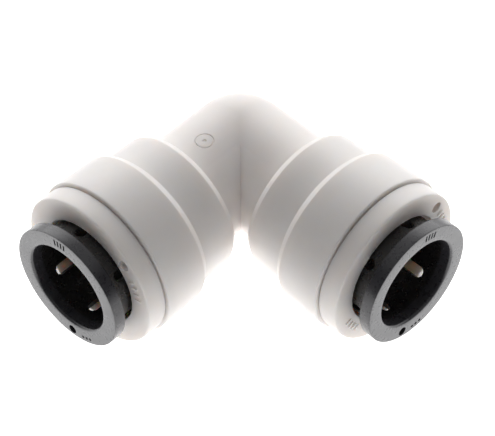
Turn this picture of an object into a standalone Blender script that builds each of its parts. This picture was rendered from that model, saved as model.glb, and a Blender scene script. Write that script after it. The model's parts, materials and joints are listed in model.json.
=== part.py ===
"""Push to connect elbow fitting for two half-inch tubes.

A white moulded elbow carries the same port at each end: a rubber o-ring, a spacer ring, a screwless
end cap and a dark collet that slides in to let go of the tube and turns freely. Each collet has six
fingers, and each finger holds one steel tooth.

Every port is modelled in its own frame. Its Z axis is the port axis and points out of the mouth,
its X axis is the object's +Z, and its origin is the corner where the two port axes cross.
"""

import math

import bmesh
import bpy
from mathutils import Matrix, Vector

MM = 0.001
GAP = 0.3 * MM                     # air between pieces that touch in the real fitting
OVERSHOOT = 1 * MM                 # how far a cutter runs past the surface that it opens
SMALL_CHAMFER = 0.15 * MM
SEGMENTS = 40                      # facets round every turned piece

# Distances along a port axis, from the corner
STOP_S = 8.7 * MM                  # shoulder that the tube's end meets
SEAL_FLOOR_S = 13.2 * MM           # floor of the o-ring's cavity
BELL_FLOOR_S = 19.2 * MM           # floor of the bell that takes the cap's plug
RIM_S = 24.65 * MM                 # open end of the body
CAP_FACE_S = 27.75 * MM            # front face of the cap
FLANGE_REAR_S = 29.93 * MM
COLLET_FACE_S = 31.75 * MM         # front face of the collet, pulled right out
NECK_END_S = 10.6 * MM             # foot of the first step's wall
MIDDLE_END_S = 17.0 * MM           # foot of the second step's wall

# Radii of the body
NECK_R = 8.05 * MM                 # the plain tube at the elbow
MIDDLE_R = 10.15 * MM              # the step next to it
BELL_R = 11.25 * MM                # the large step
RIM_R = 11.45 * MM                 # the large step, drafted out to its open end
RIM_CHAMFER = 0.3 * MM
STEP_CHAMFER = (0.5 * MM, 0.8 * MM)      # of each step's crest: towards the axis, and along it
STEP_LEAN = 0.15 * MM              # how far each step's wall leans along the axis
FLOW_R = 5.2 * MM
SOCKET_R = 6.45 * MM               # pilot bore for the tube
SOCKET_LEAD = 0.4 * MM             # chamfer that leads the tube into it
SEAL_R = 9.05 * MM
PLUG_BORE_R = 10.15 * MM
FLOW_OVERRUN = 4.4 * MM            # how far each flow bore runs past the corner

# Cap
CAP_R = 11.05 * MM
CAP_FILLET = 0.3 * MM
CAP_HOLE_R = 7.8 * MM
CAP_MOUTH_FILLET = 0.15 * MM
CAP_INNER_R = 9.1 * MM             # room for the collet's head
CAP_CONE_S = (21.2 * MM, 23.8 * MM)
GATE_HOLE_R = 0.8 * MM             # small blind hole in the front face
GATE_HOLE_DEPTH = 0.6 * MM
GATE_HOLE_AT = 9.4 * MM            # its distance from the port axis

# Collet
TUBE_R = 6.35 * MM
BORE_R = 6.5 * MM
BORE_LEAD = 0.35 * MM              # chamfer that leads the tube in
BARREL_R = 7.4 * MM
FLANGE_R = 8.94 * MM
FLANGE_FILLET = 0.12 * MM
HEAD_R = 8.75 * MM
COLLET_TIP_S = 19.6 * MM
HEAD_CONE_S = (21.2 * MM, 23.7 * MM)
TIP_CHAMFER = 0.45 * MM
FINGERS = 6
SLOT_WIDTH = 1.8 * MM
SLOT_END_S = 28.7 * MM            # round end of each slot, just short of the flange
RIM_DIMPLE_R = 0.65 * MM           # small blind hole in the flange's face, opposite the first slot
RIM_DIMPLE_DEPTH = 0.7 * MM
RIM_DIMPLE_AT = 7.95 * MM

# Tooth: a flat steel barb, root in the finger and tip in the bore
TOOTH_WIDTH = 2.4 * MM
TOOTH_THICKNESS = 0.4 * MM
TOOTH_ROOT = (7.54 * MM, 21.74 * MM)     # distance from the axis, distance along it
TOOTH_TIP = (6.15 * MM, 20.35 * MM)
TOOTH_EDGE = 0.3                         # thickness of the biting edge, as a share of the root's

# Rings
O_RING_WIRE_R = 1.2 * MM
O_RING_R = TUBE_R - 0.1 * MM + O_RING_WIRE_R
O_RING_S = SEAL_FLOOR_S + GAP + O_RING_WIRE_R
SPACER_INNER_R = 6.75 * MM
SPACER_S = (16.3 * MM, 17.2 * MM)

# The object stands on the two rims, with its origin under the middle of its box
CORNER = Vector((-(COLLET_FACE_S - RIM_R) / 2, (COLLET_FACE_S - RIM_R) / 2, RIM_R))

# Each port: its direction, and how far its collet and its cap are turned about the port's axis
PORTS = {
    "left": {"out": Vector((0, -1, 0)), "collet_turn": math.radians(6.5), "cap_turn": math.radians(-45)},
    "right": {"out": Vector((1, 0, 0)), "collet_turn": math.radians(-16), "cap_turn": math.radians(-56)},
}

COLOURS = {
    "white_acetal": ((0.80, 0.80, 0.79), 0.42, 0.0),
    "grey_acetal": ((0.10, 0.10, 0.105), 0.45, 0.0),
    "seal_rubber": ((0.012, 0.012, 0.013), 0.62, 0.0),
    "spacer_acetal": ((0.62, 0.62, 0.60), 0.45, 0.0),
    "stainless_steel": ((0.55, 0.55, 0.54), 0.30, 1.0),
}


def clear_scene():
    for obj in list(bpy.data.objects):
        bpy.data.objects.remove(obj, do_unlink=True)


def make_collection(name):
    collection = bpy.data.collections.new(name)
    bpy.context.scene.collection.children.link(collection)
    return collection


def make_materials():
    for name, (colour, roughness, metallic) in COLOURS.items():
        material = bpy.data.materials.new(name)
        material.use_nodes = True
        shader = material.node_tree.nodes["Principled BSDF"]
        shader.inputs["Base Color"].default_value = (*colour, 1.0)
        shader.inputs["Roughness"].default_value = roughness
        shader.inputs["Metallic"].default_value = metallic


def make_corner(collection):
    """Empty where the port axes cross, level with the world."""
    corner = bpy.data.objects.new("corner", None)
    corner.empty_display_size = 5 * MM
    corner.location = CORNER
    collection.objects.link(corner)
    return corner


def make_port(name, out, collection, corner):
    """Empty at the corner: Z along the port, X up."""
    up = Vector((0, 0, 1))
    side = out.cross(up)
    port = bpy.data.objects.new(f"{name}_port", None)
    port.empty_display_size = 5 * MM
    port.parent = corner
    port.matrix_local = Matrix((up, side, out)).transposed().to_4x4()
    collection.objects.link(port)
    return port


def add_object(name, mesh, collection, parent, material=None):
    obj = bpy.data.objects.new(name, mesh)
    collection.objects.link(obj)
    obj.parent = parent
    if material:
        mesh.materials.append(bpy.data.materials[material])
    else:
        obj.hide_render = True
        obj.display_type = "WIRE"
    return obj


def arc(centre, radii, start, end, steps):
    """Points (r, s) on an elliptical arc. 0 degrees points away from the axis, 90 out of the mouth."""
    points = []
    for step in range(steps + 1):
        angle = math.radians(start + (end - start) * step / steps)
        points.append((centre[0] + radii[0] * math.cos(angle), centre[1] + radii[1] * math.sin(angle)))
    return points


def turned(name, profile, collection, parent, material=None, closed=True):
    """Profile points (r, s) turned about the port axis, outer side listed from the mouth inwards."""
    edges = [(i, i + 1) for i in range(len(profile) - 1)]
    if closed:
        edges.append((len(profile) - 1, 0))
    mesh = bpy.data.meshes.new(name)
    mesh.from_pydata([(r, 0, s) for r, s in profile], edges, [])
    obj = add_object(name, mesh, collection, parent, material)
    screw = obj.modifiers.new("Turn", "SCREW")
    screw.axis = "Z"
    screw.angle = math.tau
    screw.steps = SEGMENTS
    screw.render_steps = SEGMENTS
    screw.use_merge_vertices = True
    screw.merge_threshold = 0.005 * MM
    screw.use_smooth_shade = True
    return obj


def combine(target, other, operation):
    boolean = target.modifiers.new(f"{operation.title()} {other.name}", "BOOLEAN")
    boolean.operation = operation
    boolean.object = other


def shoulder(inner_r, outer_r, foot_s):
    """Step down from outer_r to inner_r: a chamfered crest, then a steep wall with its foot at foot_s."""
    drop, run = STEP_CHAMFER
    wall_s = foot_s + STEP_LEAN
    return [(outer_r, wall_s + run), (outer_r - drop, wall_s), (inner_r, foot_s)]


def arm_outline():
    """Outside of one arm as (r, s), from the open end to the plain tube."""
    return [
        (0, RIM_S),
        (RIM_R - RIM_CHAMFER, RIM_S),
        (RIM_R, RIM_S - RIM_CHAMFER),
        *shoulder(MIDDLE_R, BELL_R, MIDDLE_END_S),
        *shoulder(NECK_R, MIDDLE_R, NECK_END_S),
    ]


def arm_ring(out, away, radius, distance):
    """One ring square to an arm. Its first point is on the side away from the other arm."""
    up = Vector((0, 0, 1))
    ring = []
    for i in range(SEGMENTS):
        angle = math.tau * i / SEGMENTS
        ring.append(out * distance + (away * math.cos(angle) + up * math.sin(angle)) * radius)
    return ring


def corner_ring(heading):
    """One ring through the corner: a half circle on the outside, and the two tubes' mitre on the inside."""
    away = Vector((-math.cos(heading), math.sin(heading), 0))
    inside = Vector((1, -1, 0))
    ring = []
    for i in range(SEGMENTS):
        angle = math.tau * i / SEGMENTS
        across = math.cos(angle) * NECK_R
        sideways = away * across if across > 0 else inside * -across
        ring.append(sideways + Vector((0, 0, math.sin(angle) * NECK_R)))
    return ring


def make_elbow_skin(name, collection, parent, material):
    """Outside of the whole elbow, lofted ring by ring from one open end round to the other."""
    left, right = PORTS["left"]["out"], PORTS["right"]["out"]
    rings = [arm_ring(left, -right, r, s) for r, s in arm_outline()]
    fan = SEGMENTS // 4
    rings += [corner_ring(math.pi / 2 * step / fan) for step in range(fan + 1)]
    rings += [arm_ring(right, -left, r, s) for r, s in reversed(arm_outline())]
    mesh = bpy.data.meshes.new(name)
    skin = bmesh.new()
    loops = [[skin.verts.new(point) for point in ring] for ring in rings]
    for first, second in zip(loops, loops[1:]):
        for i in range(SEGMENTS):
            skin.faces.new((first[i - 1], first[i], second[i], second[i - 1]))
    bmesh.ops.remove_doubles(skin, verts=skin.verts, dist=0.001 * MM)
    bmesh.ops.recalc_face_normals(skin, faces=skin.faces)
    skin.to_mesh(mesh)
    skin.free()
    mesh.shade_smooth()
    return add_object(name, mesh, collection, parent, material)


def body_bore():
    """Everything that is cut from one arm, from beyond the open end to past the corner."""
    return [
        (0, RIM_S + OVERSHOOT),
        (PLUG_BORE_R, RIM_S + OVERSHOOT),
        (PLUG_BORE_R, BELL_FLOOR_S),
        (SEAL_R, BELL_FLOOR_S),
        (SEAL_R, SEAL_FLOOR_S),
        (SOCKET_R + SOCKET_LEAD, SEAL_FLOOR_S),
        (SOCKET_R, SEAL_FLOOR_S - SOCKET_LEAD),
        (SOCKET_R, STOP_S),
        (FLOW_R, STOP_S),
        (FLOW_R, -FLOW_OVERRUN),
        (0, -FLOW_OVERRUN),
    ]


def make_elbow_body(parts, cutters, corner, ports):
    body = make_elbow_skin("elbow_body", parts, corner, "white_acetal")
    for side, port in ports.items():
        bore = turned(f"{side}_bore", body_bore(), cutters, port, closed=False)
        combine(body, bore, "DIFFERENCE")
    return body


def blind_hole(name, radius, depth, distance, face_s, angle, collection, port):
    """Cutter for a small round hole in a front face."""
    mesh = bpy.data.meshes.new(name)
    hole = bmesh.new()
    bmesh.ops.create_cone(hole, cap_ends=True, segments=12, radius1=radius, radius2=radius, depth=2 * depth)
    hole.to_mesh(mesh)
    hole.free()
    obj = add_object(name, mesh, collection, port)
    obj.location = (distance * math.cos(angle), distance * math.sin(angle), face_s)
    return obj


def make_cap(side, parts, cutters, port, turn):
    """End cap: a flange that shows, and a plug with the cone that the collet's head pulls against."""
    flange_rear_s = RIM_S + GAP
    plug_r = PLUG_BORE_R - GAP
    plug_end_s = BELL_FLOOR_S + GAP
    outer_edge = arc((CAP_R - CAP_FILLET, CAP_FACE_S - CAP_FILLET), (CAP_FILLET, CAP_FILLET), 90, 0, 3)
    mouth = arc(
        (CAP_HOLE_R + CAP_MOUTH_FILLET, CAP_FACE_S - CAP_MOUTH_FILLET),
        (CAP_MOUTH_FILLET, CAP_MOUTH_FILLET), 180, 90, 3)
    profile = [
        *outer_edge,
        (CAP_R, flange_rear_s),
        (plug_r, flange_rear_s),
        (plug_r, plug_end_s),
        (CAP_INNER_R, plug_end_s),
        (CAP_INNER_R, CAP_CONE_S[0]),
        (CAP_HOLE_R, CAP_CONE_S[1]),
        *mouth,
    ]
    cap = turned(f"{side}_end_cap", profile, parts, port, "white_acetal")
    hole = blind_hole(
        f"{side}_gate_hole", GATE_HOLE_R, GATE_HOLE_DEPTH, GATE_HOLE_AT, CAP_FACE_S, turn, cutters, port)
    combine(cap, hole, "DIFFERENCE")
    return cap


def is_slot_end(edge):
    """True for the two edges of a slot's bar that lie at the flange end, along the wall's thickness."""
    first, second = (vert.co for vert in edge.verts)
    return min(first.z, second.z) > COLLET_TIP_S and abs(first.y - second.y) < GAP


def make_slot_cutter(name, angle, collection, port):
    """Bar across one wall of the barrel, open at the tip and round at the flange end."""
    inner_r = BORE_R - OVERSHOOT
    outer_r = HEAD_R + OVERSHOOT
    start_s = COLLET_TIP_S - OVERSHOOT
    mesh = bpy.data.meshes.new(name)
    bar = bmesh.new()
    bmesh.ops.create_cube(bar, size=1)
    bmesh.ops.scale(bar, vec=(outer_r - inner_r, SLOT_WIDTH, SLOT_END_S - start_s), verts=bar.verts)
    bmesh.ops.translate(bar, vec=((outer_r + inner_r) / 2, 0, (SLOT_END_S + start_s) / 2), verts=bar.verts)
    ends = [edge for edge in bar.edges if is_slot_end(edge)]
    bmesh.ops.bevel(bar, geom=ends, offset=0.49 * SLOT_WIDTH, segments=5, profile=0.5, affect="EDGES")
    bar.transform(Matrix.Rotation(angle, 4, "Z"))
    bar.to_mesh(mesh)
    bar.free()
    return add_object(name, mesh, collection, port)


def barb_mesh(name, root, tip, width, thickness, edge_share, angle):
    """Flat bar from root to tip, both (r, s), thinned at the tip, turned to its finger."""
    direction = Vector((root[0] - tip[0], 0, root[1] - tip[1]))
    middle = Vector(((root[0] + tip[0]) / 2, 0, (root[1] + tip[1]) / 2))
    mesh = bpy.data.meshes.new(name)
    barb = bmesh.new()
    bmesh.ops.create_cube(barb, size=1)
    bmesh.ops.scale(barb, vec=(direction.length, width, thickness), verts=barb.verts)
    tip_verts = [v for v in barb.verts if v.co.x < 0]
    bmesh.ops.scale(barb, vec=(1, 1, edge_share), verts=tip_verts)
    lean = Matrix.Rotation(-math.atan2(direction.z, direction.x), 4, "Y")
    barb.transform(Matrix.Rotation(angle, 4, "Z") @ Matrix.Translation(middle) @ lean)
    barb.to_mesh(mesh)
    barb.free()
    return mesh


def make_pocket_cutter(name, angle, collection, port):
    """Room for one tooth, with a gap all round it, open to the bore."""
    slope = Vector((TOOTH_ROOT[0] - TOOTH_TIP[0], TOOTH_ROOT[1] - TOOTH_TIP[1])).normalized()
    root = (TOOTH_ROOT[0] + GAP * slope.x, TOOTH_ROOT[1] + GAP * slope.y)
    tip = (TOOTH_TIP[0] - OVERSHOOT * slope.x, TOOTH_TIP[1] - OVERSHOOT * slope.y)
    mesh = barb_mesh(name, root, tip, TOOTH_WIDTH + 2 * GAP, TOOTH_THICKNESS + 2 * GAP, 1, angle)
    return add_object(name, mesh, collection, port)


def collet_outline():
    """Flange, barrel, cone and head down the outside, then up the bore."""
    front_edge = arc(
        (FLANGE_R - FLANGE_FILLET, COLLET_FACE_S - FLANGE_FILLET), (FLANGE_FILLET, FLANGE_FILLET), 90, 0, 2)
    return [
        *front_edge,
        (FLANGE_R, FLANGE_REAR_S + SMALL_CHAMFER),
        (FLANGE_R - SMALL_CHAMFER, FLANGE_REAR_S),
        (BARREL_R, FLANGE_REAR_S),
        (BARREL_R, HEAD_CONE_S[1]),
        (HEAD_R, HEAD_CONE_S[0]),
        (HEAD_R, COLLET_TIP_S + TIP_CHAMFER),
        (HEAD_R - TIP_CHAMFER, COLLET_TIP_S),
        (BORE_R, COLLET_TIP_S),
        (BORE_R, COLLET_FACE_S - BORE_LEAD),
        (BORE_R + BORE_LEAD, COLLET_FACE_S),
    ]


def make_collet(side, parts, cutters, port, turn):
    collet = turned(f"{side}_collet", collet_outline(), parts, port, "grey_acetal")
    dimple = blind_hole(
        f"{side}_rim_dimple", RIM_DIMPLE_R, RIM_DIMPLE_DEPTH, RIM_DIMPLE_AT, COLLET_FACE_S,
        turn + math.pi, cutters, port)
    combine(collet, dimple, "DIFFERENCE")
    pitch = math.tau / FINGERS
    for number in range(FINGERS):
        slot = make_slot_cutter(f"{side}_slot_{number + 1}", turn + number * pitch, cutters, port)
        combine(collet, slot, "DIFFERENCE")
        finger_angle = turn + (number + 0.5) * pitch
        pocket = make_pocket_cutter(f"{side}_pocket_{number + 1}", finger_angle, cutters, port)
        combine(collet, pocket, "DIFFERENCE")
        name = f"{side}_tooth_{number + 1}"
        tooth = barb_mesh(
            name, TOOTH_ROOT, TOOTH_TIP, TOOTH_WIDTH, TOOTH_THICKNESS, TOOTH_EDGE, finger_angle)
        add_object(name, tooth, parts, port, "stainless_steel")
    return collet


def make_o_ring(side, parts, port):
    outline = arc((O_RING_R, O_RING_S), (O_RING_WIRE_R, O_RING_WIRE_R), 90, -270, 10)
    return turned(f"{side}_o_ring", outline[:-1], parts, port, "seal_rubber")


def make_spacer_ring(side, parts, port):
    outer_r = SEAL_R - GAP
    profile = [
        (outer_r - SMALL_CHAMFER, SPACER_S[1]),
        (outer_r, SPACER_S[1] - SMALL_CHAMFER),
        (outer_r, SPACER_S[0]),
        (SPACER_INNER_R, SPACER_S[0]),
        (SPACER_INNER_R, SPACER_S[1]),
    ]
    return turned(f"{side}_spacer_ring", profile, parts, port, "spacer_acetal")


def main():
    clear_scene()
    make_materials()
    parts = make_collection("push_to_connect_elbow")
    cutters = make_collection("cutters")
    corner = make_corner(parts)
    ports = {side: make_port(side, facts["out"], parts, corner) for side, facts in PORTS.items()}
    make_elbow_body(parts, cutters, corner, ports)
    for side, facts in PORTS.items():
        make_o_ring(side, parts, ports[side])
        make_spacer_ring(side, parts, ports[side])
        make_cap(side, parts, cutters, ports[side], facts["cap_turn"])
        make_collet(side, parts, cutters, ports[side], facts["collet_turn"])


main()
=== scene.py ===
"""Looks of a white push to connect elbow fitting with two dark collets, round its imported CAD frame.

Each port is built in its own coordinates: Z runs along the port's axis and out of its mouth, and X is up.
An outline is a closed list of (r, s) points, r away from the axis and s along it, in metres from the corner
where the two axes cross. An angle on a port is in degrees from up, clockwise as seen from outside its mouth.
"""

import json
import math

import bmesh
import bpy
from mathutils import Matrix, Vector


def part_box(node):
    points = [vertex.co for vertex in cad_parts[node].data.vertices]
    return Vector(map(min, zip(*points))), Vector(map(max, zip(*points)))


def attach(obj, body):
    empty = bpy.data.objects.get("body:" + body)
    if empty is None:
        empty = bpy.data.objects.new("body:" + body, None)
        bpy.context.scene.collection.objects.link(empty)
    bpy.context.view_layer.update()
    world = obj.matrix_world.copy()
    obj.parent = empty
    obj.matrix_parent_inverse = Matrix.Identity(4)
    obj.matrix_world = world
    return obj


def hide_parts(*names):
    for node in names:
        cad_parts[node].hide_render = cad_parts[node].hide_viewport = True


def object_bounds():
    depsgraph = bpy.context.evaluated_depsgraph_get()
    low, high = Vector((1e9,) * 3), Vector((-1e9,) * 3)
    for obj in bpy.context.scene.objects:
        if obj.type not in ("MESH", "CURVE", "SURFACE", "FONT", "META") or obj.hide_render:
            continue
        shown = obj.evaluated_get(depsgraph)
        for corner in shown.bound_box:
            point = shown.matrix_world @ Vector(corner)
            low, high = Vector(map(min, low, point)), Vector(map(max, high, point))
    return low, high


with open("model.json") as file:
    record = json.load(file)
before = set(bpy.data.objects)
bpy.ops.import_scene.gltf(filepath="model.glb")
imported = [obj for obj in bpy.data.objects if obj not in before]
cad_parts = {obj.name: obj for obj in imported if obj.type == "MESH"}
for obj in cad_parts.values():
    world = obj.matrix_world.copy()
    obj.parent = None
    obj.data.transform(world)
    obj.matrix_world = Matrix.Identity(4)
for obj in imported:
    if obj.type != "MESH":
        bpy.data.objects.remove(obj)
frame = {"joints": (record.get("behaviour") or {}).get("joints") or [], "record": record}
cad_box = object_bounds()

MM = 0.001
UP = Vector((0, 0, 1))
SEGMENTS = 144                      # facets round a turned piece

# ---------------------------------------------------------------- sizes read from the frame

JOINTS = {joint["name"]: joint for joint in frame["joints"]}
CORNER = Vector(JOINTS["left_collet_spin"]["pos_m"])
OUT = {side: Vector(JOINTS[f"{side}_collet_spin"]["axis"]).normalized() for side in ("left", "right")}


def reach(node):
    """(largest r, lowest s, highest s) of a node of the left port, whose axis is world -Y."""
    low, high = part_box(node)
    return (high[2] - low[2]) / 2, CORNER.y - high[1], CORNER.y - low[1]


RIM_R, _, RIM_S = reach("elbow_body")
CAP_R, CAP_END_S, CAP_FACE_S = reach("left_end_cap")
FLANGE_R, TIP_S, FACE_S = reach("left_collet")
RING_OUTER_R, RING_S, _ = reach("left_o_ring")
SPACER_R, SPACER_LOW_S, SPACER_HIGH_S = reach("left_spacer_ring")
GAP = 0.3 * MM                      # air between pieces that touch in the real fitting

# ---------------------------------------------------------------- sizes of the shapes

NECK_R = 8.05 * MM                  # plain tube at the corner
MIDDLE_R = (10.05 * MM, 10.2 * MM)  # the next step, at its corner end and at its outer end
BELL_R = 11.22 * MM                 # the large step at its corner end, which widens to RIM_R
NECK_END_S = 10.6 * MM              # foot of the first step's wall
MIDDLE_END_S = 17.0 * MM            # foot of the second step's wall
STEP_LEAN = 0.15 * MM               # how far each step's wall leans along the axis
STEP_CHAMFER = (0.5 * MM, 0.8 * MM)     # of each step's crest: towards the axis, and along it
STEP_FILLETS = (0.35 * MM, 0.2 * MM, 0.25 * MM)     # of a step's foot, wall top and crest
RIM_FILLET = 0.22 * MM
STOP_S = 8.7 * MM                   # shoulder that the tube's end meets
SEAL_FLOOR_S = 13.2 * MM            # floor of the o-ring's cavity
BELL_FLOOR_S = CAP_END_S - GAP      # floor of the bell that takes the cap's plug
FLOW_R = 5.2 * MM
FLOW_END_S = 5.5 * MM               # where a flow bore meets the bend at the corner
SOCKET_R = 6.45 * MM                # pilot bore for the tube
SOCKET_LEAD = 0.4 * MM              # chamfer that leads the tube into it
SEAL_R = SPACER_R + GAP
PLUG_BORE_R = 10.15 * MM
BORE_CHAMFER = 0.15 * MM            # of the other edges inside
MOULD_MARK_S = 6.55 * MM            # place of the ring mark along the left arm
MOULD_MARK_TILT = 1                 # its lean about the left arm's axis, in degrees

CAP_HOLE_R = 7.8 * MM
CAP_INNER_R = 9.1 * MM              # room for the collet's head
CAP_CONE_S = (21.2 * MM, 23.8 * MM)
CAP_DRAFT = 0.03 * MM               # how much narrower the cap's flange is at its rear
GATE_HOLE_R = 0.8 * MM
GATE_HOLE_DEPTH = 1.1 * MM
GATE_HOLE_AT = 9.4 * MM             # its distance from the port's axis
CAP_TICK_AT = 9.25 * MM
CAP_TICK_SIZE = (1.05 * MM, 0.26 * MM, 0.36 * MM)   # along r, across and along s, half of it sunk

BORE_R = 6.5 * MM
BARREL_R = 7.4 * MM
HEAD_R = 8.75 * MM
FLANGE_REAR_S = 29.93 * MM
FLANGE_DRAFT = 0.02 * MM            # how much narrower the flange is at its rear
HEAD_CONE_S = (21.2 * MM, 23.7 * MM)
FINGERS = 6
SLOT_WIDTH = 1.5 * MM
SLOT_END_S = 28.7 * MM
SLOT_FILLET = 0.14 * MM             # rounding of a slot's edge outside
BORE_FILLET = 0.1 * MM              # and inside
RIM_HOLE_R = 0.65 * MM              # small blind hole in the flange's face
RIM_HOLE_DEPTH = 0.7 * MM
RIM_HOLE_TURN = 182                 # its angle past the first slot
MARKS_AT = 7.95 * MM                # distance of that hole and of the ticks from the port's axis
TICK_SIZE = (1.0 * MM, 0.27 * MM, 0.5 * MM)         # of a sunk tick, half of it above the face
TICK_STEPS = (-6, -2, 2, 6)         # angles of the ticks past the first slot
DOT_R = 0.22 * MM
DOT_DEPTH = 0.3 * MM
DOT_AT = 8.2 * MM
DOT_STEPS = (-14, -19, -24)         # angles of the dots past the rim hole

TOOTH_ROOT = (7.54 * MM, 21.74 * MM)    # distance from the axis, and along it
TOOTH_TIP = (6.15 * MM, 20.35 * MM)
TOOTH_WIDTH = 2.4 * MM
TOOTH_THICKNESS = 0.4 * MM
TOOTH_HOLLOW = 0.12 * MM            # of the biting edge, to the round of the tube
TOOTH_CHAMFER = (0.55, 0.7)         # where the edge starts, and its thinning, as shares of the tooth

RING_INNER_R = 6.25 * MM
RING_FLASH = 0.03 * MM              # height of the mould's flash line
SPACER_INNER_R = 6.75 * MM

COLLET_TURN = {"left": -6.5, "right": 16}   # angle of each collet's first slot
GATE_TURN = {"left": 45, "right": 56}       # angle of each cap's gate hole

# ---------------------------------------------------------------- ports and angles


def port_matrix(side):
    out = OUT[side]
    turn = Matrix((UP, out.cross(UP), out)).transposed().to_4x4()
    return Matrix.Translation(CORNER) @ turn


PORT = {side: port_matrix(side) for side in OUT}


def on_port(distance, degrees, s):
    """Point in a port's coordinates, at a distance from its axis."""
    angle = math.radians(-degrees)
    return Vector((distance * math.cos(angle), distance * math.sin(angle), s))


# ---------------------------------------------------------------- camera


CAMERA_ANGLES = (44.54, 50.08, -0.32)       # azimuth, elevation and roll, in degrees
CAMERA_DISTANCE = 450.02 * MM               # from the corner
CAMERA_OFFSET = (0.995 * MM, -8.472 * MM)   # of the camera from the corner, to its right and up
LENS = 247.24                               # focal length in millimetres
SENSOR_WIDTH = 36


def make_camera():
    """Long lens, 50 degrees above the table, square to the line through the two mouths."""
    azimuth, elevation, roll = (math.radians(angle) for angle in CAMERA_ANGLES)
    level = math.cos(elevation)
    back = Vector((math.sin(azimuth) * level, -math.cos(azimuth) * level, math.sin(elevation)))
    right = Vector((math.cos(azimuth), math.sin(azimuth), 0))
    up = back.cross(right)
    turned_right = right * math.cos(roll) + up * math.sin(roll)
    turned_up = up * math.cos(roll) - right * math.sin(roll)
    data = bpy.data.cameras.new("camera")
    data.sensor_width = SENSOR_WIDTH
    data.lens = LENS
    data.clip_start = 0.01
    camera = bpy.data.objects.new("camera", data)
    place = CORNER + back * CAMERA_DISTANCE + turned_right * CAMERA_OFFSET[0] + turned_up * CAMERA_OFFSET[1]
    facing = Matrix((turned_right, turned_up, back)).transposed().to_4x4()
    camera.matrix_world = Matrix.Translation(place) @ facing
    bpy.context.collection.objects.link(camera)
    bpy.context.scene.camera = camera


# ---------------------------------------------------------------- materials


class Shader:
    """One Principled material and the few node helpers that the materials below share."""

    def __init__(self, name):
        self.material = bpy.data.materials.new(name)
        self.material.use_nodes = True
        self.nodes = self.material.node_tree.nodes
        self.links = self.material.node_tree.links
        self.principled = self.nodes["Principled BSDF"]
        self.place = self.nodes.new("ShaderNodeTexCoord").outputs["Object"]

    def set(self, **values):
        for name, value in values.items():
            self.principled.inputs[name.replace("_", " ")].default_value = value

    def noise(self, per_metre, detail=3.0, roughness=0.55):
        node = self.nodes.new("ShaderNodeTexNoise")
        node.inputs["Scale"].default_value = per_metre
        node.inputs["Detail"].default_value = detail
        node.inputs["Roughness"].default_value = roughness
        self.links.new(self.place, node.inputs["Vector"])
        return node.outputs["Fac"]

    def spread(self, value, low, high, start=0.3, end=0.7):
        """Maps a noise's middle stretch to a range of numbers."""
        node = self.nodes.new("ShaderNodeMapRange")
        node.inputs["From Min"].default_value = start
        node.inputs["From Max"].default_value = end
        node.inputs["To Min"].default_value = low
        node.inputs["To Max"].default_value = high
        self.links.new(value, node.inputs["Value"])
        return node.outputs["Result"]

    def colours(self, value, stops):
        node = self.nodes.new("ShaderNodeValToRGB")
        ramp = node.color_ramp
        for element, (position, colour) in zip(ramp.elements, (stops[0], stops[-1])):
            element.position = position
            element.color = (*colour, 1)
        for position, colour in stops[1:-1]:
            ramp.elements.new(position).color = (*colour, 1)
        self.links.new(value, node.inputs["Fac"])
        return node.outputs["Color"]

    def bump(self, height, distance, strength=1.0, before=None):
        node = self.nodes.new("ShaderNodeBump")
        node.inputs["Distance"].default_value = distance
        node.inputs["Strength"].default_value = strength
        self.links.new(height, node.inputs["Height"])
        if before:
            self.links.new(before, node.inputs["Normal"])
        return node.outputs["Normal"]

    def along_port(self, start, end):
        """0 to 1 over a stretch of the port's axis, for a piece built in its port's coordinates."""
        split = self.nodes.new("ShaderNodeSeparateXYZ")
        self.links.new(self.place, split.inputs[0])
        return self.spread(split.outputs["Z"], 0, 1, start, end)

    def mix(self, factor, first, second):
        node = self.nodes.new("ShaderNodeMix")
        node.data_type = "RGBA"
        self.links.new(factor, node.inputs["Factor"])
        self.links.new(first, node.inputs[6])
        self.links.new(second, node.inputs[7])
        return node.outputs[2]

    def link(self, value, name):
        self.links.new(value, self.principled.inputs[name])


def white_acetal():
    """Satin white moulding, a little translucent, with a fine eroded grain and faint flow clouds."""
    shader = Shader("white_moulded_plastic")
    clouds = shader.noise(160, detail=4)
    whites = [(0.3, (0.818, 0.776, 0.752)), (0.7, (0.848, 0.806, 0.784))]
    shader.link(shader.colours(clouds, whites), "Base Color")
    shader.link(shader.spread(shader.noise(900, detail=4), 0.36, 0.48), "Roughness")
    grain = shader.bump(shader.noise(9000, detail=2), 0.004 * MM)
    shader.link(shader.bump(clouds, 0.03 * MM, before=grain), "Normal")
    shader.set(IOR=1.48, Subsurface_Weight=0.6)
    shader.set(Subsurface_Scale=1.9 * MM, Subsurface_Radius=(1.0, 0.84, 0.68))
    return shader.material


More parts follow.
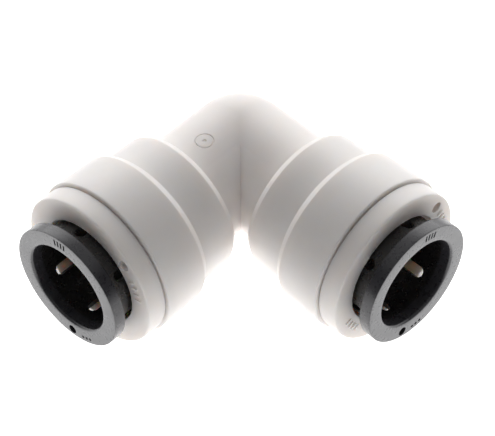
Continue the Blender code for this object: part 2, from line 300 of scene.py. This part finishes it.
def grey_acetal():
    """Very dark grey moulding with a fine grain. Painted shade darkens the barrel, head and bore behind the
    flange, and a painted reflection makes the flange's face a paler grey.
    """
    shader = Shader("grey_moulded_plastic")
    clouds = shader.noise(350, detail=5)
    # painted shade: a darker base for the barrel, head and bore behind the flange, standing in for the shade
    # in the groove between flange and cap
    painted_shade_black = shader.colours(clouds, [(0.3, (0.011, 0.010, 0.010)), (0.7, (0.017, 0.016, 0.016))])
    dark = shader.colours(clouds, [(0.3, (0.030, 0.029, 0.034)), (0.7, (0.043, 0.042, 0.048))])
    # painted reflection: a paler grey on the flange's face stands in for the glare of the lit table
    painted_glare_grey = shader.colours(clouds, [(0.3, (0.130, 0.129, 0.134)), (0.7, (0.160, 0.159, 0.165))])
    # the flange's own grey, over the painted shade behind its rear
    flange = shader.mix(shader.along_port(FLANGE_REAR_S, FLANGE_REAR_S + 0.2 * MM), painted_shade_black, dark)
    # mask of the flange's face, which gets the painted reflection
    glare_mask = shader.along_port(FACE_S - 0.08 * MM, FACE_S - 0.01 * MM)
    shader.link(shader.mix(glare_mask, flange, painted_glare_grey), "Base Color")
    shader.link(shader.spread(shader.noise(1500, detail=4), 0.24, 0.35), "Roughness")
    grain = shader.bump(shader.noise(11000, detail=2), 0.006 * MM)
    shader.link(shader.bump(clouds, 0.02 * MM, before=grain), "Normal")
    shader.set(IOR=1.6)
    return shader.material


def seal_rubber():
    """Black nitrile rubber with a dusty bloom."""
    shader = Shader("seal_rubber")
    bloom = shader.noise(1200, detail=6)
    blacks = [(0.35, (0.010, 0.010, 0.011)), (0.75, (0.030, 0.030, 0.031))]
    shader.link(shader.colours(bloom, blacks), "Base Color")
    shader.link(shader.spread(bloom, 0.5, 0.75), "Roughness")
    shader.link(shader.bump(shader.noise(7000), 0.006 * MM), "Normal")
    shader.set(IOR=1.5)
    return shader.material


def spacer_acetal():
    """Off-white moulding of the loose ring behind the seal."""
    shader = Shader("spacer_plastic")
    clouds = shader.noise(500, detail=4)
    shader.link(shader.colours(clouds, [(0.3, (0.58, 0.58, 0.56)), (0.7, (0.66, 0.66, 0.64))]), "Base Color")
    shader.link(shader.spread(clouds, 0.4, 0.52), "Roughness")
    shader.link(shader.bump(shader.noise(9000), 0.004 * MM), "Normal")
    shader.set(IOR=1.48)
    return shader.material


def stainless_steel():
    """Stamped strip with rolling streaks."""
    shader = Shader("stainless_steel")
    stretch = shader.nodes.new("ShaderNodeMapping")
    stretch.inputs["Scale"].default_value = (1, 14, 1)
    shader.links.new(shader.place, stretch.inputs["Vector"])
    shader.place = stretch.outputs["Vector"]
    streaks = shader.noise(2500, detail=5)
    shader.link(shader.colours(streaks, [(0.3, (0.50, 0.50, 0.49)), (0.7, (0.62, 0.62, 0.60))]), "Base Color")
    shader.link(shader.spread(streaks, 0.22, 0.38), "Roughness")
    shader.link(shader.bump(streaks, 0.003 * MM), "Normal")
    shader.set(Metallic=1.0)
    return shader.material


MATERIALS = {
    "white_acetal": white_acetal(),
    "grey_acetal": grey_acetal(),
    "seal_rubber": seal_rubber(),
    "spacer_acetal": spacer_acetal(),
    "stainless_steel": stainless_steel(),
}
SLOT_OF = {part["node"]: part["material_slot"] for part in frame["record"]["subparts"]}
BODY_OF = {node: body for body, nodes in frame["record"]["behaviour"]["bodies"].items() for node in nodes}

# ---------------------------------------------------------------- mesh helpers


def to_object(name, mesh, matrix=None):
    """Closes a bmesh into an object at a port's place."""
    bmesh.ops.recalc_face_normals(mesh, faces=mesh.faces)
    data = bpy.data.meshes.new(name)
    mesh.to_mesh(data)
    mesh.free()
    obj = bpy.data.objects.new(name, data)
    bpy.context.collection.objects.link(obj)
    if matrix:
        obj.matrix_world = matrix
    return obj


def rounded(corners, steps=6):
    """Closed outline with its corners rounded. Each corner is (r, s, fillet radius), and 0 stays as it is."""
    outline = []
    for i, (r, s, fillet) in enumerate(corners):
        here = Vector((r, s))
        back = Vector(corners[i - 1][:2]) - here
        ahead = Vector(corners[(i + 1) % len(corners)][:2]) - here
        if not fillet:
            outline.append((r, s))
            continue
        half = back.angle(ahead) / 2
        run = min(fillet / math.tan(half), 0.49 * back.length, 0.49 * ahead.length)
        start = here + back.normalized() * run
        end = here + ahead.normalized() * run
        middle = here + (back.normalized() + ahead.normalized()).normalized() * run / math.cos(half)
        radius = run * math.tan(half)
        for step in range(steps + 1):
            spoke = (start - middle).slerp(end - middle, step / steps)      # of length 1
            outline.append(tuple(middle + spoke * radius))
    return outline


def divided(outline, longest):
    """The same closed outline with every straight run split into steps no longer than this."""
    points = []
    for i, point in enumerate(outline):
        start = Vector(point)
        end = Vector(outline[(i + 1) % len(outline)])
        parts = max(1, math.ceil((end - start).length / longest))
        points += [tuple(start.lerp(end, part / parts)) for part in range(parts)]
    return points


def skinned(rings):
    """bmesh of a closed skin through closed rings, the last ring joined to the first."""
    mesh = bmesh.new()
    loops = [[mesh.verts.new(point) for point in ring] for ring in rings]
    for loop, before in zip(loops, loops[-1:] + loops[:-1]):
        for i in range(len(loop)):
            mesh.faces.new((before[i - 1], before[i], loop[i], loop[i - 1]))
    return mesh


def turned(name, side, outline):
    """A closed outline turned about a port's axis."""
    rings = []
    for step in range(SEGMENTS):
        angle = math.tau * step / SEGMENTS
        rings.append([(r * math.cos(angle), r * math.sin(angle), s) for r, s in outline])
    return to_object(name, skinned(rings), PORT[side])


def apply_modifiers(obj):
    bpy.context.view_layer.update()
    graph = bpy.context.evaluated_depsgraph_get()
    data = bpy.data.meshes.new_from_object(obj.evaluated_get(graph))
    obj.modifiers.clear()
    obj.data = data


def joined(objects):
    """One object out of several that don't touch, in the first one's coordinates."""
    bpy.context.view_layer.update()
    matrix = objects[0].matrix_world.copy()
    mesh = bmesh.new()
    for obj in objects:
        obj.data.transform(matrix.inverted() @ obj.matrix_world)
        mesh.from_mesh(obj.data)
        bpy.data.objects.remove(obj, do_unlink=True)
    return to_object("joined", mesh, matrix)


def combine(target, others, operation):
    """Boolean of target with others, applied. The others are used up."""
    other = joined(others)
    boolean = target.modifiers.new(operation, "BOOLEAN")
    boolean.operation = operation
    boolean.object = other
    apply_modifiers(target)
    bpy.data.objects.remove(other, do_unlink=True)


def finished(obj, node, sharp=40):
    """Shades a piece, gives it its node's material, and makes it ride and stand for that node."""
    obj.data.shade_smooth()
    obj.data.set_sharp_from_angle(angle=math.radians(sharp))
    weighted = obj.modifiers.new("even_normals", "WEIGHTED_NORMAL")
    weighted.keep_sharp = True
    obj.data.materials.clear()
    obj.data.materials.append(MATERIALS[SLOT_OF[node]])
    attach(obj, BODY_OF[node])
    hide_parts(node)
    return obj


def bar(name, side, size, distance, degrees, s, edge=0.0):
    """Small block on a port: size along r, across and along s, with its edges rounded by edge."""
    mesh = bmesh.new()
    bmesh.ops.create_cube(mesh, size=1)
    bmesh.ops.scale(mesh, vec=size, verts=mesh.verts)
    if edge:
        bmesh.ops.bevel(mesh, geom=mesh.edges, offset=edge, segments=2, profile=0.5, affect="EDGES")
    turn = Matrix.Rotation(math.radians(-degrees), 4, "Z")
    mesh.transform(Matrix.Translation(on_port(distance, degrees, s)) @ turn)
    return to_object(name, mesh, PORT[side])


def plug(name, side, radius, depth, distance, degrees, s, segments=32):
    """Short round bar along a port's axis, centred on s."""
    mesh = bmesh.new()
    bmesh.ops.create_cone(mesh, cap_ends=True, segments=segments, radius1=radius, radius2=radius, depth=depth)
    mesh.transform(Matrix.Translation(on_port(distance, degrees, s)))
    return to_object(name, mesh, PORT[side])


# ---------------------------------------------------------------- elbow body


def step_up(inner_r, outer_r, foot_s):
    """Corners of a step up from inner_r, from its foot out to its chamfered crest."""
    drop, run = STEP_CHAMFER
    foot, top, crest = STEP_FILLETS
    wall_s = foot_s + STEP_LEAN
    return [(inner_r, foot_s, foot), (outer_r - drop, wall_s, top), (outer_r, wall_s + run, crest)]


def arm_outside():
    """Outside of an arm as (r, s), from the corner out to the edge of the rim."""
    corners = [
        (NECK_R, 0, 0),
        *step_up(NECK_R, MIDDLE_R[0], NECK_END_S),
        *step_up(MIDDLE_R[1], BELL_R, MIDDLE_END_S),
        (RIM_R, RIM_S, RIM_FILLET),
        (0, RIM_S, 0),
    ]
    return rounded(corners)[1:-1]


def arm_inside():
    """Bores of an arm as (r, s), from the edge of the rim in to the flow bore."""
    mouth_chamfer = 0.2 * MM
    return [
        (PLUG_BORE_R + mouth_chamfer, RIM_S),
        (PLUG_BORE_R, RIM_S - mouth_chamfer),
        (PLUG_BORE_R, BELL_FLOOR_S),
        (SEAL_R + BORE_CHAMFER, BELL_FLOOR_S),
        (SEAL_R, BELL_FLOOR_S - BORE_CHAMFER),
        (SEAL_R, SEAL_FLOOR_S),
        (SOCKET_R + SOCKET_LEAD, SEAL_FLOOR_S),
        (SOCKET_R, SEAL_FLOOR_S - SOCKET_LEAD),
        (SOCKET_R, STOP_S),
        (FLOW_R + BORE_CHAMFER, STOP_S),
        (FLOW_R, STOP_S - BORE_CHAMFER),
        (FLOW_R, FLOW_END_S),
    ]


def arm_ring(out, away, r, s):
    """Ring square to an arm, in world directions from the corner, from the side away from the other arm."""
    ring = []
    for i in range(SEGMENTS):
        angle = math.tau * i / SEGMENTS
        ring.append(out * s + (away * math.cos(angle) + UP * math.sin(angle)) * r)
    return ring


def corner_ring(heading, radius):
    """Ring through the corner: half a circle outside, and the mitre of the two tubes inside."""
    away = -OUT["right"] * math.cos(heading) - OUT["left"] * math.sin(heading)
    inside = OUT["right"] + OUT["left"]
    ring = []
    for i in range(SEGMENTS):
        angle = math.tau * i / SEGMENTS
        across = math.cos(angle) * radius
        sideways = away * across if across > 0 else inside * -across
        ring.append(sideways + UP * math.sin(angle) * radius)
    return ring


def corner_fan(radius, steps):
    return [corner_ring(math.pi / 2 * step / steps, radius) for step in range(steps + 1)]


def make_mould_mark(body):
    """Plain ring and dot sunk into the top of the left arm, where the moulding has its cavity mark."""
    tilt = Matrix.Rotation(math.radians(MOULD_MARK_TILT), 4, "Y")
    place = Matrix.Translation(CORNER + OUT["left"] * MOULD_MARK_S + UP * NECK_R) @ tilt
    section = [(1.02, 0.3), (1.38, 0.3), (1.26, -0.2), (1.14, -0.2)]    # (r, height) in millimetres
    steps = 48
    rings = []
    for step in range(steps):
        angle = math.tau * step / steps
        rings.append([(r * MM * math.cos(angle), r * MM * math.sin(angle), z * MM) for r, z in section])
    groove = skinned(rings)
    dot = bmesh.new()
    bmesh.ops.create_cone(
        dot, cap_ends=True, segments=24, radius1=0.2 * MM, radius2=0.38 * MM, depth=0.3 * MM)
    cutters = [to_object("mark_groove", groove, place), to_object("mark_dot", dot, place)]
    combine(body, cutters, "DIFFERENCE")


def make_elbow_body():
    """The whole moulding as one skin: over the outside from the left mouth to the right, and back inside."""
    left, right = OUT["left"], OUT["right"]
    outside, inside = arm_outside(), arm_inside()
    rings = [arm_ring(left, -right, r, s) for r, s in reversed(outside)]
    rings += corner_fan(NECK_R, 30)
    rings += [arm_ring(right, -left, r, s) for r, s in outside]
    rings += [arm_ring(right, -left, r, s) for r, s in inside]
    rings += reversed(corner_fan(FLOW_R, 12))
    rings += [arm_ring(left, -right, r, s) for r, s in reversed(inside)]
    mesh = skinned(rings)
    bmesh.ops.remove_doubles(mesh, verts=mesh.verts, dist=0.001 * MM)
    body = to_object("elbow_moulding", mesh, Matrix.Translation(CORNER))
    make_mould_mark(body)
    return finished(body, "elbow_body", sharp=30)


# ---------------------------------------------------------------- end caps

# Raised ticks on each cap's face, in place of moulded letters: degrees round the port
CAP_TICKS = {"left": (61, 67, 73, 79), "right": (-113, -119, -125, -131, 67, 73, 79)}


def make_cap(side):
    rear_s = RIM_S + 0.5 * GAP
    plug_r = PLUG_BORE_R - GAP
    outline = rounded([
        (CAP_R, CAP_FACE_S, 0.25 * MM),
        (CAP_R - CAP_DRAFT, rear_s, 0.2 * MM),
        (plug_r, rear_s, 0),
        (plug_r, CAP_END_S, 0.2 * MM),
        (CAP_INNER_R, CAP_END_S, 0.2 * MM),
        (CAP_INNER_R, CAP_CONE_S[0], 0.6 * MM),
        (CAP_HOLE_R, CAP_CONE_S[1], 0.6 * MM),
        (CAP_HOLE_R, CAP_FACE_S, 0.12 * MM),
    ])
    cap = turned(f"{side}_cap_moulding", side, divided(outline, 0.8 * MM))
    depth = 2 * GATE_HOLE_DEPTH
    hole = plug("gate_hole", side, GATE_HOLE_R, depth, GATE_HOLE_AT, GATE_TURN[side], CAP_FACE_S)
    combine(cap, [hole], "DIFFERENCE")
    ticks = []
    for degrees in CAP_TICKS[side]:
        ticks.append(bar("tick", side, CAP_TICK_SIZE, CAP_TICK_AT, degrees, CAP_FACE_S, edge=0.05 * MM))
    combine(cap, ticks, "UNION")
    return finished(cap, f"{side}_end_cap", sharp=35)


# ---------------------------------------------------------------- collets


def flares(fillet, steps=4):
    """(depth under a surface, extra half width) down a slot's rounded edge, from just above the surface."""
    steepest = math.radians(70)
    pairs = []
    for step in range(steps + 1):
        angle = steepest * (1 - step / steps)
        pairs.append((fillet * (1 - math.sin(angle)), fillet * (1 - math.cos(angle))))
    above = 0.04 * MM
    depth, flare = pairs[0]
    return [(-above, flare + (above + depth) * math.tan(steepest))] + pairs


def slot_loop(flare, height_of):
    """Outline of a slot, widened by flare. height_of turns an offset across the slot into a height."""
    half = SLOT_WIDTH / 2 + flare
    centre_s = SLOT_END_S - SLOT_WIDTH / 2
    sides = [TIP_S - MM, TIP_S + 2 * MM, TIP_S + 4 * MM]
    points = [(half, s) for s in sides]
    steps = 16
    for step in range(steps + 1):
        angle = math.pi * step / steps
        points.append((half * math.cos(angle), centre_s + half * math.sin(angle)))
    points += [(-half, s) for s in reversed(sides)]
    return [(height_of(across), across, s) for across, s in points]


def slot_cutter(side, degrees):
    """Bar through one wall of the barrel with a round end, flared where it breaks each surface."""
    def flat(height, flare):
        return slot_loop(flare, lambda across: height)

    def shell(r, flare):
        return slot_loop(flare, lambda across: math.sqrt(r * r - across * across))

    inner, outer = flares(BORE_FILLET), flares(SLOT_FILLET)
    loops = [flat(BORE_R - MM, inner[0][1])]
    loops += [shell(BORE_R + depth, flare) for depth, flare in inner]
    loops += [shell(BARREL_R - depth, flare) for depth, flare in reversed(outer)]
    loops.append(flat(HEAD_R + MM, outer[0][1]))
    mesh = bmesh.new()
    verts = [[mesh.verts.new(point) for point in loop] for loop in loops]
    for before, loop in zip(verts, verts[1:]):
        for i in range(len(loop)):
            mesh.faces.new((before[i - 1], before[i], loop[i], loop[i - 1]))
    mesh.faces.new(verts[0])
    mesh.faces.new(reversed(verts[-1]))
    mesh.transform(Matrix.Rotation(math.radians(-degrees), 4, "Z"))
    return to_object("slot", mesh, PORT[side])


def tooth_place(degrees):
    """Puts the X axis of a tooth along its length, tip at -X, and turns it to its finger."""
    root, tip = Vector(TOOTH_ROOT), Vector(TOOTH_TIP)
    middle = (root + tip) / 2
    along = root - tip
    lean = Matrix.Rotation(-math.atan2(along.y, along.x), 4, "Y")
    turn = Matrix.Rotation(math.radians(-degrees), 4, "Z")
    return turn @ Matrix.Translation((middle.x, 0, middle.y)) @ lean, along.length


def pocket_cutter(side, degrees):
    """Room for one tooth, with a gap all round it, open to the bore."""
    place, length = tooth_place(degrees)
    mesh = bmesh.new()
    bmesh.ops.create_cube(mesh, size=1)
    size = (length + GAP + MM, TOOTH_WIDTH + 2 * GAP, TOOTH_THICKNESS + 2 * GAP)
    bmesh.ops.scale(mesh, vec=size, verts=mesh.verts)
    mesh.transform(place @ Matrix.Translation(((GAP - MM) / 2, 0, 0)))
    return to_object("pocket", mesh, PORT[side])


def make_collet(side):
    outline = rounded([
        (FLANGE_R, FACE_S, 0.1 * MM),
        (FLANGE_R - FLANGE_DRAFT, FLANGE_REAR_S, 0.12 * MM),
        (BARREL_R, FLANGE_REAR_S, 0.2 * MM),
        (BARREL_R, HEAD_CONE_S[1], 0.8 * MM),
        (HEAD_R, HEAD_CONE_S[0], 0.5 * MM),
        (HEAD_R, TIP_S, 0.5 * MM),
        (BORE_R, TIP_S, 0.25 * MM),
        (BORE_R, FACE_S, 0.4 * MM),
    ])
    collet = turned(f"{side}_release_collet", side, divided(outline, 0.7 * MM))
    turn = COLLET_TURN[side]
    hole_turn = turn + RIM_HOLE_TURN
    cutters = [plug("rim_hole", side, RIM_HOLE_R, 2 * RIM_HOLE_DEPTH, MARKS_AT, hole_turn, FACE_S)]
    for finger in range(FINGERS):
        degrees = turn + finger * 360 / FINGERS
        cutters.append(slot_cutter(side, degrees))
        cutters.append(pocket_cutter(side, degrees + 180 / FINGERS))
    for step in TICK_STEPS:
        cutters.append(bar("mark", side, TICK_SIZE, MARKS_AT, turn + step, FACE_S))
    for step in DOT_STEPS:
        cutters.append(plug("dot", side, DOT_R, 2 * DOT_DEPTH, DOT_AT, hole_turn + step, FACE_S, segments=20))
    combine(collet, cutters, "DIFFERENCE")
    return finished(collet, f"{side}_collet", sharp=35)


def make_tooth(side, number, degrees):
    """Flat steel barb, its biting edge ground to a chamfer and hollowed to the tube."""
    place, length = tooth_place(degrees)
    mesh = bmesh.new()
    bmesh.ops.create_grid(mesh, x_segments=6, y_segments=12, size=0.5)
    bmesh.ops.scale(mesh, vec=(length, TOOTH_WIDTH, 1), verts=mesh.verts)
    for vert in mesh.verts:
        toward_tip = 0.5 - vert.co.x / length
        hollow = TOOTH_HOLLOW * math.cos(math.pi * vert.co.y / TOOTH_WIDTH)
        vert.co.x += hollow * toward_tip
    flat = mesh.faces[:]
    extruded = bmesh.ops.extrude_face_region(mesh, geom=flat)["geom"]
    top = [item for item in extruded if isinstance(item, bmesh.types.BMVert)]
    bmesh.ops.translate(mesh, vec=(0, 0, TOOTH_THICKNESS), verts=top)
    bmesh.ops.translate(mesh, vec=(0, 0, -TOOTH_THICKNESS / 2), verts=mesh.verts)
    edge_start, thinning = TOOTH_CHAMFER
    for vert in mesh.verts:
        toward_tip = 0.5 - vert.co.x / length
        vert.co.z *= 1 - thinning * max(0, toward_tip - edge_start) / (1 - edge_start)
    mesh.transform(place)
    tooth = to_object(f"{side}_grip_tooth_{number}", mesh, PORT[side])
    bevel = tooth.modifiers.new("edges", "BEVEL")
    bevel.width = 0.03 * MM
    bevel.segments = 2
    bevel.limit_method = "ANGLE"
    apply_modifiers(tooth)
    return finished(tooth, f"{side}_tooth_{number}", sharp=35)


# ---------------------------------------------------------------- rings


def make_o_ring(side):
    """Moulded ring with the faint flash line that its mould leaves round it."""
    wire = (RING_OUTER_R - RING_INNER_R) / 2
    centre_r = RING_OUTER_R - wire
    steps = 40
    outline = []
    for step in range(steps):
        angle = -math.tau * step / steps
        radius = wire if step in (0, steps // 2) else wire - RING_FLASH
        outline.append((centre_r + radius * math.cos(angle), RING_S + wire + radius * math.sin(angle)))
    return finished(turned(f"{side}_seal_ring", side, outline), f"{side}_o_ring", sharp=60)


def make_spacer(side):
    outline = rounded([
        (SPACER_R, SPACER_HIGH_S, 0.15 * MM),
        (SPACER_R, SPACER_LOW_S, 0.1 * MM),
        (SPACER_INNER_R, SPACER_LOW_S, 0.1 * MM),
        (SPACER_INNER_R, SPACER_HIGH_S, 0.1 * MM),
    ], steps=4)
    return finished(turned(f"{side}_loose_ring", side, outline), f"{side}_spacer_ring")


# ---------------------------------------------------------------- studio


TABLE_R = 2.5                       # of the table, in metres
TABLE_GLOW = (1.17, 0.26)           # of the lit table, round the fitting and far from it
TABLE_LIT_R = (55 * MM, 95 * MM)    # where its glow starts to fade, and where it ends
WALL_GLOW = 2.35                    # the lit backdrop behind the fitting
WALL_EDGE = (0.1, 0.6)              # its soft edge, as the share of a direction that points at its middle
WALL_AZIMUTH = 224.5                # where its middle stands, in degrees counted as the camera's azimuth is
ROOM_GLOW = 0.01                    # the dark room opposite the backdrop
CEILING_GLOW = 0.42
CEILING_EDGE = (0.55, 0.85)         # its soft edge, as the share of a direction that points up


def fade(nodes, links, value, start, end):
    """Smooth step between two (position, number) pairs along a value."""
    node = nodes.new("ShaderNodeMapRange")
    node.interpolation_type = "SMOOTHSTEP"
    node.inputs["From Min"].default_value = start[0]
    node.inputs["From Max"].default_value = end[0]
    node.inputs["To Min"].default_value = start[1]
    node.inputs["To Max"].default_value = end[1]
    links.new(value, node.inputs["Value"])
    return node.outputs["Result"]


def mixed(nodes, links, factor, first, second):
    """Mix of two numbers or sockets."""
    node = nodes.new("ShaderNodeMix")
    node.data_type = "FLOAT"
    links.new(factor, node.inputs["Factor"])
    for name, value in (("A", first), ("B", second)):
        if isinstance(value, float):
            node.inputs[name].default_value = value
        else:
            links.new(value, node.inputs[name])
    return node.outputs["Result"]


def make_floor():
    """Pale lit table that the fitting lies on."""
    mesh = bmesh.new()
    bmesh.ops.create_circle(mesh, cap_ends=True, segments=96, radius=TABLE_R)
    floor = to_object("floor", mesh)
    floor.location.z = cad_box[0][2] - 0.1 * MM
    material = bpy.data.materials.new("lit_table")
    material.use_nodes = True
    nodes, links = material.node_tree.nodes, material.node_tree.links
    principled = nodes["Principled BSDF"]
    principled.inputs["Base Color"].default_value = (0.9, 0.9, 0.9, 1)
    principled.inputs["Roughness"].default_value = 0.9
    principled.inputs["Emission Color"].default_value = (1, 1, 1, 1)
    distance = nodes.new("ShaderNodeVectorMath")
    distance.operation = "LENGTH"
    links.new(nodes.new("ShaderNodeTexCoord").outputs["Object"], distance.inputs[0])
    ends = zip(TABLE_LIT_R, TABLE_GLOW)
    links.new(fade(nodes, links, distance.outputs["Value"], *ends), principled.inputs["Emission Strength"])
    floor.data.materials.append(material)


def make_world():
    """Soft light from a backdrop behind the fitting and a dim ceiling, with a dark room opposite."""
    world = bpy.data.worlds.new("studio")
    world.use_nodes = True
    bpy.context.scene.world = world
    nodes, links = world.node_tree.nodes, world.node_tree.links
    background = nodes["Background"]
    direction = nodes.new("ShaderNodeTexCoord").outputs["Generated"]
    dot = nodes.new("ShaderNodeVectorMath")
    dot.operation = "DOT_PRODUCT"
    azimuth = math.radians(WALL_AZIMUTH)
    dot.inputs[1].default_value = (math.sin(azimuth), -math.cos(azimuth), 0)
    links.new(direction, dot.inputs[0])
    height = nodes.new("ShaderNodeSeparateXYZ")
    links.new(direction, height.inputs[0])
    walls = fade(nodes, links, dot.outputs["Value"], *zip(WALL_EDGE, (ROOM_GLOW, WALL_GLOW)))
    near_zenith = fade(nodes, links, height.outputs["Z"], *zip(CEILING_EDGE, (0, 1)))
    light = mixed(nodes, links, near_zenith, walls, CEILING_GLOW)
    seen = nodes.new("ShaderNodeLightPath").outputs["Is Camera Ray"]
    links.new(mixed(nodes, links, seen, light, 1.0), background.inputs["Strength"])
    background.inputs["Color"].default_value = (1, 1, 1, 1)


# ---------------------------------------------------------------- build

make_camera()
make_floor()
make_world()
bpy.context.scene.view_settings.view_transform = "Standard"

make_elbow_body()
for side in ("left", "right"):
    make_cap(side)
    make_collet(side)
    make_o_ring(side)
    make_spacer(side)
    for finger in range(FINGERS):
        make_tooth(side, finger + 1, COLLET_TURN[side] - (finger + 0.5) * 360 / FINGERS)
